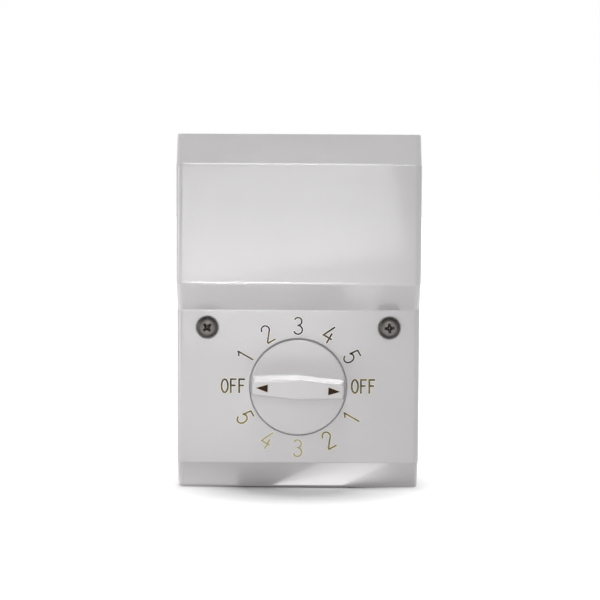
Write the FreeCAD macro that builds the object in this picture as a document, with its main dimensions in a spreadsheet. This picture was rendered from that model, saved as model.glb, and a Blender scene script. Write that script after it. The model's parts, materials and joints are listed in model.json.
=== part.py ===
import FreeCAD, Part
import Sketcher
import math
import os

# Wall-box fan speed control: a moulded cover with a rotary knob in front of a tapped choke.
# Frame in millimetres: X to the right, Z up, the wall is the plane Y = 0 and the front looks along -Y.
# "Depth" is the distance from the wall, so a point at depth d lies at Y = -d.
# The origin is on the wall, midway between the two mounting screws.

SIZES = {
    # moulded cover, measured from the screw line and from the wall
    "cover_width": 81.0,
    "cover_top": 64.2,
    "cover_bottom": 54.8,
    "cover_wall": 2.4,
    "cover_draft": 0.013,
    "cover_side_radius": 2.0,
    "raised_depth": 37.0,
    "panel_depth": 27.5,
    "raised_top": 54.0,
    "raised_bottom": 14.8,
    "panel_top": 5.8,
    "panel_bottom": 45.1,
    "top_slope_depth": 27.8,
    "chamfer_depth": 18.5,
    "raised_edge_radius": 1.3,
    "rim_radius": 0.5,
    # fixing to the wall box
    "screw_spacing": 60.3,
    "screw_diameter": 3.5,
    "screw_head_diameter": 7.0,
    "screw_head_height": 2.2,
    "screw_length": 40.0,
    "screw_shank_diameter": 3.1,
    "screw_thread_length": 13.9,
    "screw_seat_depth": 0.4,
    "recess_span": 3.9,
    "recess_slot": 1.0,
    "column_diameter": 9.0,
    "rib_thickness": 1.6,
    # steel back plate and the screws that hold the cover on it
    "plate_thickness": 1.2,
    "plate_setback": 2.2,
    "plate_gap": 0.5,
    "corner_inset_side": 5.6,
    "corner_inset_end": 6.0,
    "corner_boss_diameter": 7.0,
    "corner_boss_top": 26.0,
    "corner_boss_low": 17.5,
    "tapping_diameter": 2.9,
    "tapping_length": 9.5,
    "small_head_diameter": 5.4,
    "small_head_height": 1.8,
    "cable_hole_width": 20.0,
    "cable_hole_height": 10.0,
    "cable_hole_centre": 24.0,
    "cable_hole_level": 11.0,
    # knob
    "knob_drop": 19.8,
    "knob_diameter": 31.6,
    "knob_rim_gap": 0.4,
    "knob_recess_depth": 0.9,
    "knob_floor_gap": 0.4,
    "knob_disc_thickness": 1.9,
    "grip_height": 7.6,
    "grip_end_width": 4.3,
    "grip_middle_width": 6.3,
    "grip_flank": 1.2,
    "grip_edge_radius": 0.35,
    "knob_turn": 2.4,
    "hub_diameter": 12.0,
    "hub_clearance": 1.0,
    # rotary switch
    "shaft_diameter": 6.0,
    "shaft_flat": 1.5,
    "shaft_reach": 33.4,
    "pivot_diameter": 3.0,
    "pivot_length": 1.4,
    "running_gap": 0.05,
    "fit_gap": 0.02,
    "bushing_diameter": 9.0,
    "bushing_length": 4.0,
    "bridge_front": 20.6,
    "bridge_thickness": 1.2,
    "bridge_width": 24.0,
    "bridge_span": 24.0,
    "bridge_foot": 8.5,
    "washer_thickness": 0.5,
    "washer_diameter": 13.0,
    "nut_thickness": 2.0,
    "nut_flats": 12.0,
    "front_plate_thickness": 1.0,
    "housing_diameter": 34.0,
    "housing_wall": 2.0,
    "housing_floor": 2.0,
    "housing_depth": 11.0,
    "rotor_diameter": 25.8,
    "rotor_disc_diameter": 23.6,
    "rotor_disc_height": 2.4,
    "rotor_height": 6.6,
    "rotor_hub_diameter": 10.0,
    "speed_step": 30.0,
    "notch_radius": 1.9,
    "nose_radius": 1.6,
    "spring_thickness": 0.5,
    "spring_length": 14.8,
    "contact_thickness": 0.6,
    "terminal_thickness": 0.7,
    "terminal_width": 3.0,
    "terminal_inner": 8.6,
    "terminal_reach": 22.5,
    "wiper_gap": 0.2,
    "clip_thickness": 0.6,
    "clip_diameter": 9.4,
    # choke
    "choke_offset": 12.0,
    "choke_level": 32.6,
    "core_width": 42.0,
    "core_height": 35.0,
    "core_stack": 14.0,
    "core_leg": 7.0,
    "core_air_gap": 0.2,
    "core_standoff": 8.1,
    "bobbin_wall": 1.0,
    "bobbin_flange": 1.2,
    "bobbin_reach": 6.2,
    "winding_margin": 0.9,
    "tape_thickness": 0.4,
    "choke_bolt_diameter": 3.0,
    "spacer_diameter": 6.0,
    # terminal block
    "block_offset": 24.0,
    "block_level": 31.0,
    "block_length": 24.0,
    "block_width": 14.0,
    "block_height": 12.5,
    "way_pitch": 8.0,
    "insert_section": 4.2,
    "insert_length": 11.0,
    "insert_bore": 2.8,
    "insert_height": 5.1,
    "clamp_screw_diameter": 2.6,
    "clamp_screw_pitch": 6.0,
    # earth screw and leads
    "earth_offset": 15.0,
    "earth_level": 7.5,
    "earth_screw_diameter": 4.0,
    "lead_diameter": 1.7,
}

document = FreeCAD.newDocument("fan_speed_control")
sheet = document.addObject("Spreadsheet::Sheet", "Sizes")
for row, (alias, number) in enumerate(SIZES.items(), start=1):
    sheet.set("A%d" % row, alias)
    sheet.set("B%d" % row, str(number))
    sheet.setAlias("B%d" % row, alias)
document.recompute()


class Size:
    """A number together with the sheet formula that gives it."""

    def __init__(self, value, formula):
        self.value = value
        self.formula = formula

    def __add__(self, other):
        other = as_size(other)
        return Size(self.value + other.value, "(%s + %s)" % (self.formula, other.formula))

    def __radd__(self, other):
        return as_size(other) + self

    def __neg__(self):
        return Size(-self.value, "(0 - %s)" % self.formula)

    def __sub__(self, other):
        return self + (-as_size(other))

    def __rsub__(self, other):
        return as_size(other) - self

    def __mul__(self, other):
        other = as_size(other)
        return Size(self.value * other.value, "(%s * %s)" % (self.formula, other.formula))

    def __rmul__(self, other):
        return self * other

    def __truediv__(self, other):
        other = as_size(other)
        return Size(self.value / other.value, "(%s / %s)" % (self.formula, other.formula))


def as_size(item):
    """A Size as it is, or a plain number made into one."""
    return item if isinstance(item, Size) else Size(float(item), repr(float(item)))


def cell(alias):
    """The named cell of the sheet."""
    return Size(float(sheet.get(alias)), "Sizes." + alias)


def bind(target, path, item):
    """Tie a property of an object to a size."""
    target.setExpression(path, as_size(item).formula)


# Building blocks

def new_body(label, x=0.0, z=0.0):
    """A body whose own axes are moved to (x, z) in the plane of the wall."""
    body = document.addObject("PartDesign::Body", label)
    body.Label = label
    body.AllowCompound = True
    bind(body, "Placement.Base.x", x)
    bind(body, "Placement.Base.z", z)
    return body


def sketch_on(body, name, plane, height=0.0, shift=(0.0, 0.0), turn=0.0):
    """An empty sketch parallel to one of the body's planes, at a height above it."""
    sketch = body.newObject("Sketcher::SketchObject", name)
    support = [item for item in body.Origin.OriginFeatures if item.Role == plane][0]
    sketch.AttachmentSupport = [(support, "")]
    sketch.MapMode = "FlatFace"
    bind(sketch, "AttachmentOffset.Base.x", shift[0])
    bind(sketch, "AttachmentOffset.Base.y", shift[1])
    bind(sketch, "AttachmentOffset.Base.z", height)
    bind(sketch, "AttachmentOffset.Rotation.Angle", turn)
    return sketch


def front_sketch(body, name, depth, shift=(0.0, 0.0), turn=0.0):
    """A sketch seen from the front, with X to the right and Z up, at a depth from the wall."""
    return sketch_on(body, name, "XZ_Plane", depth, shift, turn)


def pin_point(sketch, geometry, position, x, y):
    """Fix a point of the sketch at sheet-driven distances from the sketch's origin."""
    for kind, item in (("DistanceX", as_size(x)), ("DistanceY", as_size(y))):
        rule = Sketcher.Constraint(kind, -1, 1, geometry, position, item.value)
        index = sketch.addConstraint(rule)
        bind(sketch, "Constraints[%d]" % index, item)


def vector(point):
    """A sketch point as numbers."""
    return FreeCAD.Vector(as_size(point[0]).value, as_size(point[1]).value, 0.0)


def outline(sketch, corners, arcs=()):
    """A closed outline. An entry of arcs gives, by corner number, a point that the next edge bends through."""
    bends = dict(arcs)
    count = len(corners)
    edges = []
    ends = []
    for index, corner in enumerate(corners):
        start = vector(corner)
        finish = vector(corners[(index + 1) % count])
        start_end = (1, 2)
        if index in bends:
            middle = vector(bends[index])
            if (middle - start).cross(finish - middle).z < 0:
                # arcs are drawn anticlockwise
                start, finish = finish, start
                start_end = (2, 1)
            edge = Part.Arc(start, middle, finish)
        else:
            edge = Part.LineSegment(start, finish)
        edges.append(sketch.addGeometry(edge, False))
        ends.append(start_end)
    for index, edge in enumerate(edges):
        following = (index + 1) % count
        rule = Sketcher.Constraint("Coincident", edge, ends[index][1], edges[following], ends[following][0])
        sketch.addConstraint(rule)
        pin_point(sketch, edge, ends[index][0], *corners[index])
        if index in bends:
            point = sketch.addGeometry(Part.Point(vector(bends[index])), True)
            pin_point(sketch, point, 1, *bends[index])
            sketch.addConstraint(Sketcher.Constraint("PointOnObject", point, 1, edge))


def circle(sketch, x, y, diameter):
    """A circle with its centre and diameter driven by sizes."""
    radius = as_size(diameter) / 2
    edge = sketch.addGeometry(Part.Circle(vector((x, y)), FreeCAD.Vector(0, 0, 1), radius.value), False)
    pin_point(sketch, edge, 3, x, y)
    index = sketch.addConstraint(Sketcher.Constraint("Radius", edge, radius.value))
    bind(sketch, "Constraints[%d]" % index, radius)


def rectangle(sketch, left, right, low, high):
    """A rectangle between four sizes."""
    outline(sketch, [(left, low), (right, low), (right, high), (left, high)])


def pad(sketch, length):
    """Material from the sketch along its normal."""
    return extruded("PartDesign::Pad", sketch, length)


def pocket(sketch, length):
    """A cut from the sketch against its normal."""
    return extruded("PartDesign::Pocket", sketch, length)


def extruded(kind, sketch, length):
    body = sketch.getParentGeoFeatureGroup()
    feature = body.newObject(kind, sketch.Name + kind.split("::")[1])
    feature.Profile = sketch
    bind(feature, "Length", length)
    return feature


def turned(body, name, profile, x=0.0, z=0.0, arcs=(), cut=False):
    """A solid of revolution about an axis square to the wall; the profile is in (radius, depth)."""
    sketch = sketch_on(body, name, "XY_Plane", z, (x, 0.0))
    outline(sketch, [(radius, -as_size(depth)) for radius, depth in profile],
            [(index, (radius, -as_size(depth))) for index, (radius, depth) in arcs])
    feature = body.newObject("PartDesign::Groove" if cut else "PartDesign::Revolution", name + "Turned")
    feature.Profile = sketch
    feature.ReferenceAxis = (sketch, ["V_Axis"])
    feature.Angle = 360.0
    return feature


def around(feature, sketch, count, sweep):
    """Copies of a feature about the sketch's normal."""
    body = sketch.getParentGeoFeatureGroup()
    pattern = body.newObject("PartDesign::PolarPattern", feature.Name + "Around")
    pattern.Originals = [feature]
    pattern.Axis = (sketch, ["N_Axis"])
    bind(pattern, "Angle", sweep)
    pattern.Occurrences = count
    body.Tip = pattern
    return pattern


def rounded(feature, radius, wanted):
    """Fillets on the edges of a feature that the test picks out."""
    document.recompute()
    names = ["Edge%d" % (index + 1) for index, edge in enumerate(feature.Shape.Edges) if wanted(edge)]
    body = feature.getParentGeoFeatureGroup()
    fillet = body.newObject("PartDesign::Fillet", feature.Name + "Rounded")
    fillet.Base = (feature, names)
    bind(fillet, "Radius", radius)
    return fillet


def spread(edge):
    """The sides of an edge's bounding box."""
    box = edge.BoundBox
    return box.XLength, box.YLength, box.ZLength


def centre(edge):
    """The centre of an edge's bounding box."""
    return edge.BoundBox.Center


# Sizes that several pieces share

half_width = cell("cover_width") / 2
wall = cell("cover_wall")
draft = cell("cover_draft")
panel_depth = cell("panel_depth")
raised_depth = cell("raised_depth")
panel_inside = panel_depth - wall
plate_back = cell("plate_setback")
plate_front = plate_back + cell("plate_thickness")
screw_x = cell("screw_spacing") / 2
corner_x = half_width - cell("corner_inset_side")
corner_top = cell("cover_top") - cell("corner_inset_end")
corner_low = -cell("cover_bottom") + cell("corner_inset_end")
knob_z = -cell("knob_drop")
recess_floor = panel_depth - cell("knob_recess_depth")
knob_back = recess_floor + cell("knob_floor_gap")
knob_face = knob_back + cell("knob_disc_thickness")
bridge_back = cell("bridge_front") - cell("bridge_thickness")
housing_front = bridge_back - cell("front_plate_thickness")
housing_back = housing_front - cell("housing_depth")
contact_floor = housing_back + cell("housing_floor")
wiper_back = contact_floor + cell("terminal_thickness") + cell("wiper_gap")
rotor_back = wiper_back + cell("contact_thickness")
rotor_front = rotor_back + cell("rotor_height")
bushing_front = bridge_back + cell("bushing_length")
shaft_tail = contact_floor + cell("running_gap")
core_back = plate_front + cell("core_standoff")
core_front = core_back + cell("core_stack")
core_middle = core_back + cell("core_stack") / 2
choke_bolt_x = (cell("core_width") - cell("core_leg")) / 2
choke_bolt_z = (cell("core_height") - cell("core_leg")) / 2
block_x = -cell("block_offset")
insert_middle = plate_front + cell("insert_height")


# Cover

def cover_side_profile():
    """The side view of the cover as (-depth, level) corners, from the top of the wall edge round."""
    return [
        (0.0, cell("cover_top")),
        (-cell("top_slope_depth"), cell("cover_top") - draft * cell("top_slope_depth")),
        (-raised_depth, cell("raised_top")),
        (-raised_depth, cell("raised_bottom")),
        (-panel_depth, cell("panel_top")),
        (-panel_depth, -cell("panel_bottom")),
        (-cell("chamfer_depth"), draft * cell("chamfer_depth") - cell("cover_bottom")),
        (0.0, -cell("cover_bottom")),
    ]


def make_front_cover():
    """Moulded shell: two flat panels joined by slopes, drafted sides, screw columns and corner bosses."""
    body = new_body("front_cover")
    side_view = sketch_on(body, "CoverSideView", "YZ_Plane", -half_width)
    outline(side_view, cover_side_profile())
    pad(side_view, half_width * 2)

    # The sides lean inwards towards the front.
    over = 2.0
    lean = draft * (raised_depth + over)
    for name, side in (("Left", -1), ("Right", 1)):
        wedge = sketch_on(body, name + "Draft", "XY_Plane", cell("cover_top") + over)
        outline(wedge, [(half_width * side, 0.0),
                        ((half_width - lean) * side, -(raised_depth + over)),
                        ((half_width + over) * side, -(raised_depth + over)),
                        ((half_width + over) * side, 0.0)])
        drafted = pocket(wedge, cell("cover_top") + cell("cover_bottom") + over * 2)
    document.recompute()

    shell = body.newObject("PartDesign::Thickness", "CoverShell")
    back = [index for index, face in enumerate(drafted.Shape.Faces) if abs(face.CenterOfMass.y) < 1e-6][0]
    shell.Base = (drafted, ["Face%d" % (back + 1)])
    shell.Mode = 0
    shell.Join = 1
    shell.Reversed = True
    bind(shell, "Value", wall)

    def long_front_side(edge):
        # outer edges between a side wall and any forward-facing face
        outer = abs(centre(edge).x) > half_width.value - lean.value - 0.2
        across = spread(edge)[0] < 1.0
        forward = centre(edge).y < -cell("chamfer_depth").value + 0.01
        return outer and across and forward and edge.BoundBox.YMax < -1.0

    def step_inner_edge(edge):
        at_step = abs(centre(edge).y + panel_depth.value) < 0.01
        return at_step and abs(centre(edge).z - cell("panel_top").value) < 0.01 and spread(edge)[0] > 20.0

    step = rounded(shell, cell("rim_radius"), step_inner_edge)
    sides = rounded(step, cell("cover_side_radius"), long_front_side)

    def raised_lower_edge(edge):
        on_front = abs(centre(edge).y + raised_depth.value) < 0.01
        return on_front and abs(centre(edge).z - cell("raised_bottom").value) < 0.01 and spread(edge)[0] > 20.0

    lip = rounded(sides, cell("raised_edge_radius"), raised_lower_edge)

    def level_front_edge(edge):
        # the other outer edges that run from side to side
        corners = [cover_side_profile()[index] for index in (1, 2, 5, 6)]
        at = (centre(edge).y, centre(edge).z)
        near = [abs(at[0] - as_size(y).value) + abs(at[1] - as_size(z).value) < 0.01 for y, z in corners]
        return any(near) and spread(edge)[0] > 20.0

    rounded(lip, cell("rim_radius"), level_front_edge)
    add_cover_bosses(body)
    cut_cover_holes(body)
    return body


def add_cover_bosses(body):
    """Screw columns with ribs, corner bosses and the thicker ring behind the knob."""
    columns = front_sketch(body, "ScrewColumns", plate_front)
    for side in (-1, 1):
        circle(columns, screw_x * side, 0.0, cell("column_diameter"))
    pad(columns, panel_inside - plate_front + wall / 2)

    ribs = front_sketch(body, "ColumnRibs", plate_front + 3)
    half_rib = cell("rib_thickness") / 2
    for side in (-1, 1):
        near = screw_x * side
        far = (half_width - wall * 0.7) * side
        outline(ribs, [(near, -half_rib), (far, -half_rib), (far, half_rib), (near, half_rib)])
    pad(ribs, panel_inside - plate_front - 3 + wall / 2)

    for name, level, front in (("Top", corner_top, "corner_boss_top"), ("Low", corner_low, "corner_boss_low")):
        bosses = front_sketch(body, name + "CornerBosses", plate_front)
        for side in (-1, 1):
            circle(bosses, corner_x * side, level, cell("corner_boss_diameter"))
        pad(bosses, cell(front) - plate_front)

    ring = front_sketch(body, "KnobRing", panel_inside - cell("knob_recess_depth"))
    circle(ring, 0.0, knob_z, cell("knob_diameter") + 6)
    pad(ring, cell("knob_recess_depth") + wall / 2)


def cut_cover_holes(body):
    """Screw holes with a shallow seat, pilot holes, the knob's recess and its hub hole."""
    seats = front_sketch(body, "ScrewSeats", panel_depth)
    holes = front_sketch(body, "ScrewHoles", panel_depth)
    for side in (-1, 1):
        circle(seats, screw_x * side, 0.0, cell("screw_head_diameter") + 0.5)
        circle(holes, screw_x * side, 0.0, cell("screw_diameter") + 0.7)
    pocket(seats, cell("screw_seat_depth"))
    pocket(holes, panel_depth)

    for name, level in (("Top", corner_top), ("Low", corner_low)):
        pilots = front_sketch(body, name + "Pilots", plate_front + cell("tapping_length") + 1)
        for side in (-1, 1):
            circle(pilots, corner_x * side, level, cell("tapping_diameter") + 0.04)
        pocket(pilots, cell("tapping_length") + 1)

    recess = front_sketch(body, "KnobRecess", panel_depth)
    circle(recess, 0.0, knob_z, cell("knob_diameter") + cell("knob_rim_gap") * 2)
    pocket(recess, cell("knob_recess_depth"))
    hub_hole = front_sketch(body, "HubHole", panel_depth)
    circle(hub_hole, 0.0, knob_z, cell("hub_diameter") + cell("hub_clearance") * 2)
    pocket(hub_hole, wall * 2)


def cross_recess(body, name, depth, x, turn):
    """The cross in a screw head, narrowing to a point as the driver does."""
    arm = cell("recess_span") / 2
    slot = cell("recess_slot") / 2
    for index in range(2):
        wide = front_sketch(body, "%s%dMouth" % (name, index), depth, (x, 0.0), turn + 90.0 * index)
        rectangle(wide, -arm, arm, -slot, slot)
        narrow = front_sketch(body, "%s%dTip" % (name, index), depth - 1.7, (x, 0.0), turn + 90.0 * index)
        rectangle(narrow, -arm * 0.35, arm * 0.35, -slot * 0.7, slot * 0.7)
        cut = body.newObject("PartDesign::SubtractiveLoft", "%s%dCut" % (name, index))
        cut.Profile = wide
        cut.Sections = [narrow]
        cut.Ruled = True


def make_mounting_screws():
    """Two pan-head machine screws that pass through the cover into the wall box."""
    body = new_body("mounting_screws")
    seat = panel_depth - cell("screw_seat_depth")
    head = cell("screw_head_diameter") / 2
    top = seat + cell("screw_head_height")
    thread = cell("screw_diameter") / 2
    shank = cell("screw_shank_diameter") / 2
    tip = seat - cell("screw_length")
    profile = [
        (0.0, tip),
        (thread - 0.5, tip),
        (thread, tip + 0.5),
        (thread, tip + cell("screw_thread_length")),
        (shank, tip + cell("screw_thread_length") + 0.3),
        (shank, seat),
        (head, seat),
        (head, seat + cell("screw_head_height") * 0.3),
        (0.0, top),
    ]
    dome = (head * 0.72, seat + cell("screw_head_height") * 0.83)
    for name, side in (("Left", -1), ("Right", 1)):
        turned(body, name + "Screw", profile, x=screw_x * side, arcs=[(7, dome)])
    for name, side, turn in (("Left", -1, 42.0), ("Right", 1, 4.0)):
        cross_recess(body, name + "Cross", top, screw_x * side, turn)
    return body


# Back plate and its screws

def plate_screw(body, name, x, z, seat, length, diameter):
    """A pan-head screw whose head lies in front of its seat and whose shank points at the wall."""
    shank = as_size(diameter) / 2
    head = cell("small_head_diameter") / 2
    top = seat + cell("small_head_height")
    turned(body, name, [(0.0, seat - length), (shank, seat - length), (shank, seat), (head, seat),
                        (head, seat + cell("small_head_height") * 0.4), (head * 0.7, top), (0.0, top)], x, z)
    slot = front_sketch(body, name + "Slot", top, (x, z))
    rectangle(slot, -head - 1, head + 1, -0.35, 0.35)
    pocket(slot, cell("small_head_height") * 0.45)


def make_cover_screws():
    """Four self-tapping screws from behind the plate into the cover's corner bosses."""
    body = new_body("cover_screws")
    shank = cell("tapping_diameter") / 2
    head = cell("small_head_diameter") / 2
    tip = plate_front + cell("tapping_length")
    rear = plate_back - cell("small_head_height")
    for side in (-1, 1):
        for level_name, level in (("Top", corner_top), ("Low", corner_low)):
            name = "%s%sTapping" % (level_name, "Left" if side < 0 else "Right")
            turned(body, name, [(0.0, rear), (head * 0.75, rear), (head, plate_back - 0.7), (head, plate_back),
                                (shank, plate_back), (shank, tip - 1.5), (0.0, tip)], corner_x * side, level)
            slot = front_sketch(body, name + "Slot", rear + 0.8, (corner_x * side, level))
            rectangle(slot, -head - 1, head + 1, -0.35, 0.35)
            pocket(slot, 1.5)
    return body


def plate_collars():
    """Where the plate is drawn up into a collar for a screw's thread, with the screw's diameter."""
    choke_x = cell("choke_offset")
    choke_z = cell("choke_level")
    bolt = cell("choke_bolt_diameter")
    places = [(choke_x + choke_bolt_x * side, choke_z + choke_bolt_z * end, bolt)
              for side in (-1, 1) for end in (-1, 1)]
    places += [(bridge_screw_x() * side, knob_z, bolt) for side in (-1, 1)]
    places += [(block_x, cell("block_level") + cell("way_pitch") / 2 * end, bolt) for end in (-1, 1)]
    places.append((cell("earth_offset"), cell("earth_level"), cell("earth_screw_diameter")))
    return places


def make_back_plate():
    """Zinc-plated steel plate with drawn collars behind its tapped holes and a cable opening."""
    body = new_body("back_plate")
    side = half_width - wall - cell("plate_gap")
    top = cell("cover_top") - wall - cell("plate_gap")
    low = -cell("cover_bottom") + wall + cell("plate_gap")
    blank = front_sketch(body, "PlateBlank", plate_back)
    rectangle(blank, -side, side, low, top)
    sheet_metal = pad(blank, cell("plate_thickness"))
    rounded(sheet_metal, 2.0, lambda edge: spread(edge)[1] > 0.5)

    collars = front_sketch(body, "Collars", plate_back - 1.2)
    bores = front_sketch(body, "CollarBores", plate_front)
    for x, z, diameter in plate_collars():
        circle(collars, x, z, diameter + 1.6)
        circle(bores, x, z, diameter + 0.04)
    pad(collars, 1.2 + cell("plate_thickness") / 2)
    pocket(bores, cell("plate_thickness") + 1.2)

    through = front_sketch(body, "PlateHoles", plate_front)
    for direction in (-1, 1):
        circle(through, screw_x * direction, 0.0, cell("screw_diameter") + 0.7)
        circle(through, corner_x * direction, corner_top, cell("tapping_diameter") + 0.5)
        circle(through, corner_x * direction, corner_low, cell("tapping_diameter") + 0.5)
    pocket(through, cell("plate_thickness"))

    opening = front_sketch(body, "CableOpening", plate_front)
    middle = -cell("cable_hole_centre")
    half = cell("cable_hole_width") / 2
    rise = cell("cable_hole_height") / 2
    level = cell("cable_hole_level")
    outline(opening,
            [(middle - half + rise, level - rise), (middle + half - rise, level - rise),
             (middle + half - rise, level + rise), (middle - half + rise, level + rise)],
            [(1, (middle + half, level)), (3, (middle - half, level))])
    pocket(opening, cell("plate_thickness"))
    return body


# Knob

def grip_outline(sketch, end_half, middle_half, reach):
    """The grip from the front: widest in the middle, with ends that follow the knob's rim."""
    end_x = math.sqrt(reach.value ** 2 - end_half.value ** 2) / reach.value
    outline(sketch,
            [(reach * -end_x, end_half), (0.0, middle_half), (reach * end_x, end_half),
             (reach * end_x, -end_half), (0.0, -middle_half), (reach * -end_x, -end_half)],
            [(2, (reach, 0.0)), (5, (-reach, 0.0))])


def make_knob():
    """Disc with a raised grip across it and a hub bored for the shaft and its spring."""
    body = new_body("knob", z=knob_z)
    rim = cell("knob_diameter") / 2
    hub = cell("hub_diameter") / 2
    hub_back = hub_rear()
    turned(body, "KnobDisc", [(0.0, hub_back), (hub, hub_back), (hub, knob_back), (rim, knob_back),
                              (rim, knob_face - 0.4), (rim - 0.4, knob_face), (0.0, knob_face)],
           arcs=[(4, (rim - 0.117, knob_face - 0.117))])

    flank = cell("grip_flank")
    reach = rim - 0.1
    base = front_sketch(body, "GripBase", knob_face - 0.3, turn=-cell("knob_turn"))
    grip_outline(base, cell("grip_end_width") / 2 + flank, cell("grip_middle_width") / 2 + flank, reach)
    crest = front_sketch(body, "GripCrest", knob_face + cell("grip_height"), turn=-cell("knob_turn"))
    grip_outline(crest, cell("grip_end_width") / 2, cell("grip_middle_width") / 2, reach - 0.8)
    grip = body.newObject("PartDesign::AdditiveLoft", "Grip")
    grip.Profile = base
    grip.Sections = [crest]
    grip.Ruled = True
    crest_depth = knob_face.value + cell("grip_height").value
    rounded(grip, cell("grip_edge_radius"),
            lambda edge: abs(edge.BoundBox.YMin + crest_depth) < 0.01 and spread(edge)[1] < 0.01)

    bore = front_sketch(body, "ShaftBore", cell("shaft_reach") + 0.3)
    shaft_outline(bore, cell("shaft_diameter") / 2 + cell("fit_gap"), cell("fit_gap"))
    pocket(bore, cell("shaft_reach") + 0.3 - hub_back)
    spring_slot = front_sketch(body, "SpringSlot", knob_spring_front() + 0.1)
    flat = cell("shaft_diameter") / 2 - cell("shaft_flat")
    rectangle(spring_slot, -2.1, 2.1, flat, flat + 0.6)
    pocket(spring_slot, knob_spring_front() + 0.1 - hub_back)
    return body


def shaft_outline(sketch, radius, gap):
    """A D section: a circle cut by a flat on its upper side."""
    flat = cell("shaft_diameter") / 2 - cell("shaft_flat") + gap
    half = Size(math.sqrt(radius.value ** 2 - flat.value ** 2),
                "sqrt(%s ^ 2 - %s ^ 2)" % (radius.formula, flat.formula))
    outline(sketch, [(-half, flat), (half, flat)], [(1, (0.0, -radius))])


def hub_rear():
    """Depth of the hub's rear end, clear of the ring that holds the shaft."""
    return bushing_front + cell("clip_thickness") + 0.6


def knob_spring_front():
    """Depth of the front end of the leaf spring in the hub."""
    return hub_rear() + 7.5


def make_knob_spring():
    """Bowed steel leaf that presses on the flat of the shaft."""
    body = new_body("knob_spring", z=knob_z)
    flat = cell("shaft_diameter") / 2 - cell("shaft_flat") + cell("fit_gap")
    profile = sketch_on(body, "LeafSide", "YZ_Plane", -2.0)
    near = -(hub_rear() + 0.3)
    far = -knob_spring_front()
    middle = (near + far) / 2
    outline(profile, [(near, flat + 0.25), (far, flat + 0.25), (far, flat + 0.5), (near, flat + 0.5)],
            [(0, (middle, flat + 0.02)), (2, (middle, flat + 0.27))])
    pad(profile, 4.0)
    return body


# Rotary switch

def make_switch_shaft():
    """Turned shaft with a flat for the knob, a ring groove and a pivot at its tail."""
    body = new_body("switch_shaft", z=knob_z)
    radius = cell("shaft_diameter") / 2
    pivot = cell("pivot_diameter") / 2
    groove = bushing_front + 0.1
    turned(body, "ShaftBar", [
        (0.0, shaft_tail - cell("pivot_length")), (pivot, shaft_tail - cell("pivot_length")),
        (pivot, shaft_tail), (radius, shaft_tail), (radius, groove), (radius - 0.6, groove),
        (radius - 0.6, groove + cell("clip_thickness") + 0.1), (radius, groove + cell("clip_thickness") + 0.1),
        (radius, cell("shaft_reach") - 0.4), (radius - 0.4, cell("shaft_reach")), (0.0, cell("shaft_reach"))])
    flat = front_sketch(body, "ShaftFlat", cell("shaft_reach"))
    rectangle(flat, -radius - 1, radius + 1, radius - cell("shaft_flat"), radius + 1)
    pocket(flat, cell("shaft_reach") - hub_rear() + 0.2)
    return body


def make_shaft_clip():
    """E-shaped retaining ring in the shaft's groove, in front of the bushing."""
    body = new_body("shaft_clip", z=knob_z)
    ring = front_sketch(body, "ClipRing", bushing_front + 0.15)
    circle(ring, 0.0, 0.0, cell("clip_diameter"))
    circle(ring, 0.0, 0.0, cell("shaft_diameter") - 1.1)
    pad(ring, cell("clip_thickness"))
    mouth = front_sketch(body, "ClipMouth", bushing_front + 0.15 + cell("clip_thickness"))
    rectangle(mouth, -2.2, 2.2, -cell("clip_diameter"), 0.0)
    pocket(mouth, cell("clip_thickness"))
    return body


def make_switch_bushing():
    """Threaded bushing with a flange behind the switch's front plate."""
    body = new_body("switch_bushing", z=knob_z)
    bore = cell("shaft_diameter") / 2 + cell("running_gap")
    outer = cell("bushing_diameter") / 2
    flange_back = housing_front - 0.6
    turned(body, "Bushing", [(bore, flange_back), (outer + 1.2, flange_back), (outer + 1.2, housing_front),
                             (outer, housing_front), (outer, bushing_front - 0.4),
                             (outer - 0.4, bushing_front), (bore, bushing_front)])
    return body


def make_switch_front_plate():
    """Steel lid of the switch with two tabs bent back along the housing and a locating lug."""
    body = new_body("switch_front_plate", z=knob_z)
    lid = front_sketch(body, "LidDisc", housing_front)
    circle(lid, 0.0, 0.0, cell("housing_diameter"))
    circle(lid, 0.0, 0.0, cell("bushing_diameter") + cell("fit_gap") * 2)
    pad(lid, cell("front_plate_thickness"))
    inner = cell("housing_diameter") / 2 + 0.1
    outer = inner + cell("front_plate_thickness")
    for name, side in (("Left", -1), ("Right", 1)):
        shoulder = front_sketch(body, name + "Shoulder", housing_front)
        near = (inner - 1.5) * side
        far = outer * side
        outline(shoulder, [(near, -3.0), (far, -3.0), (far, 3.0), (near, 3.0)])
        pad(shoulder, cell("front_plate_thickness"))
        tab = front_sketch(body, name + "Tab", housing_back)
        outline(tab, [(inner * side, -3.0), (far, -3.0), (far, 3.0), (inner * side, 3.0)])
        pad(tab, cell("housing_depth") + cell("front_plate_thickness") / 2)
        hook = front_sketch(body, name + "Hook", housing_back - 0.8)
        hook_end = (inner - 2.0) * side
        outline(hook, [(hook_end, -3.0), (far, -3.0), (far, 3.0), (hook_end, 3.0)])
        pad(hook, 0.8)
    lug = front_sketch(body, "LocatingLug", housing_front)
    circle(lug, 0.0, -lug_radius(), 2.5)
    pad(lug, cell("front_plate_thickness") + cell("bridge_thickness") * 0.8)
    return body


def lug_radius():
    """Distance of the locating lug from the shaft's axis."""
    return cell("bridge_width") / 2 - 3


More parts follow.
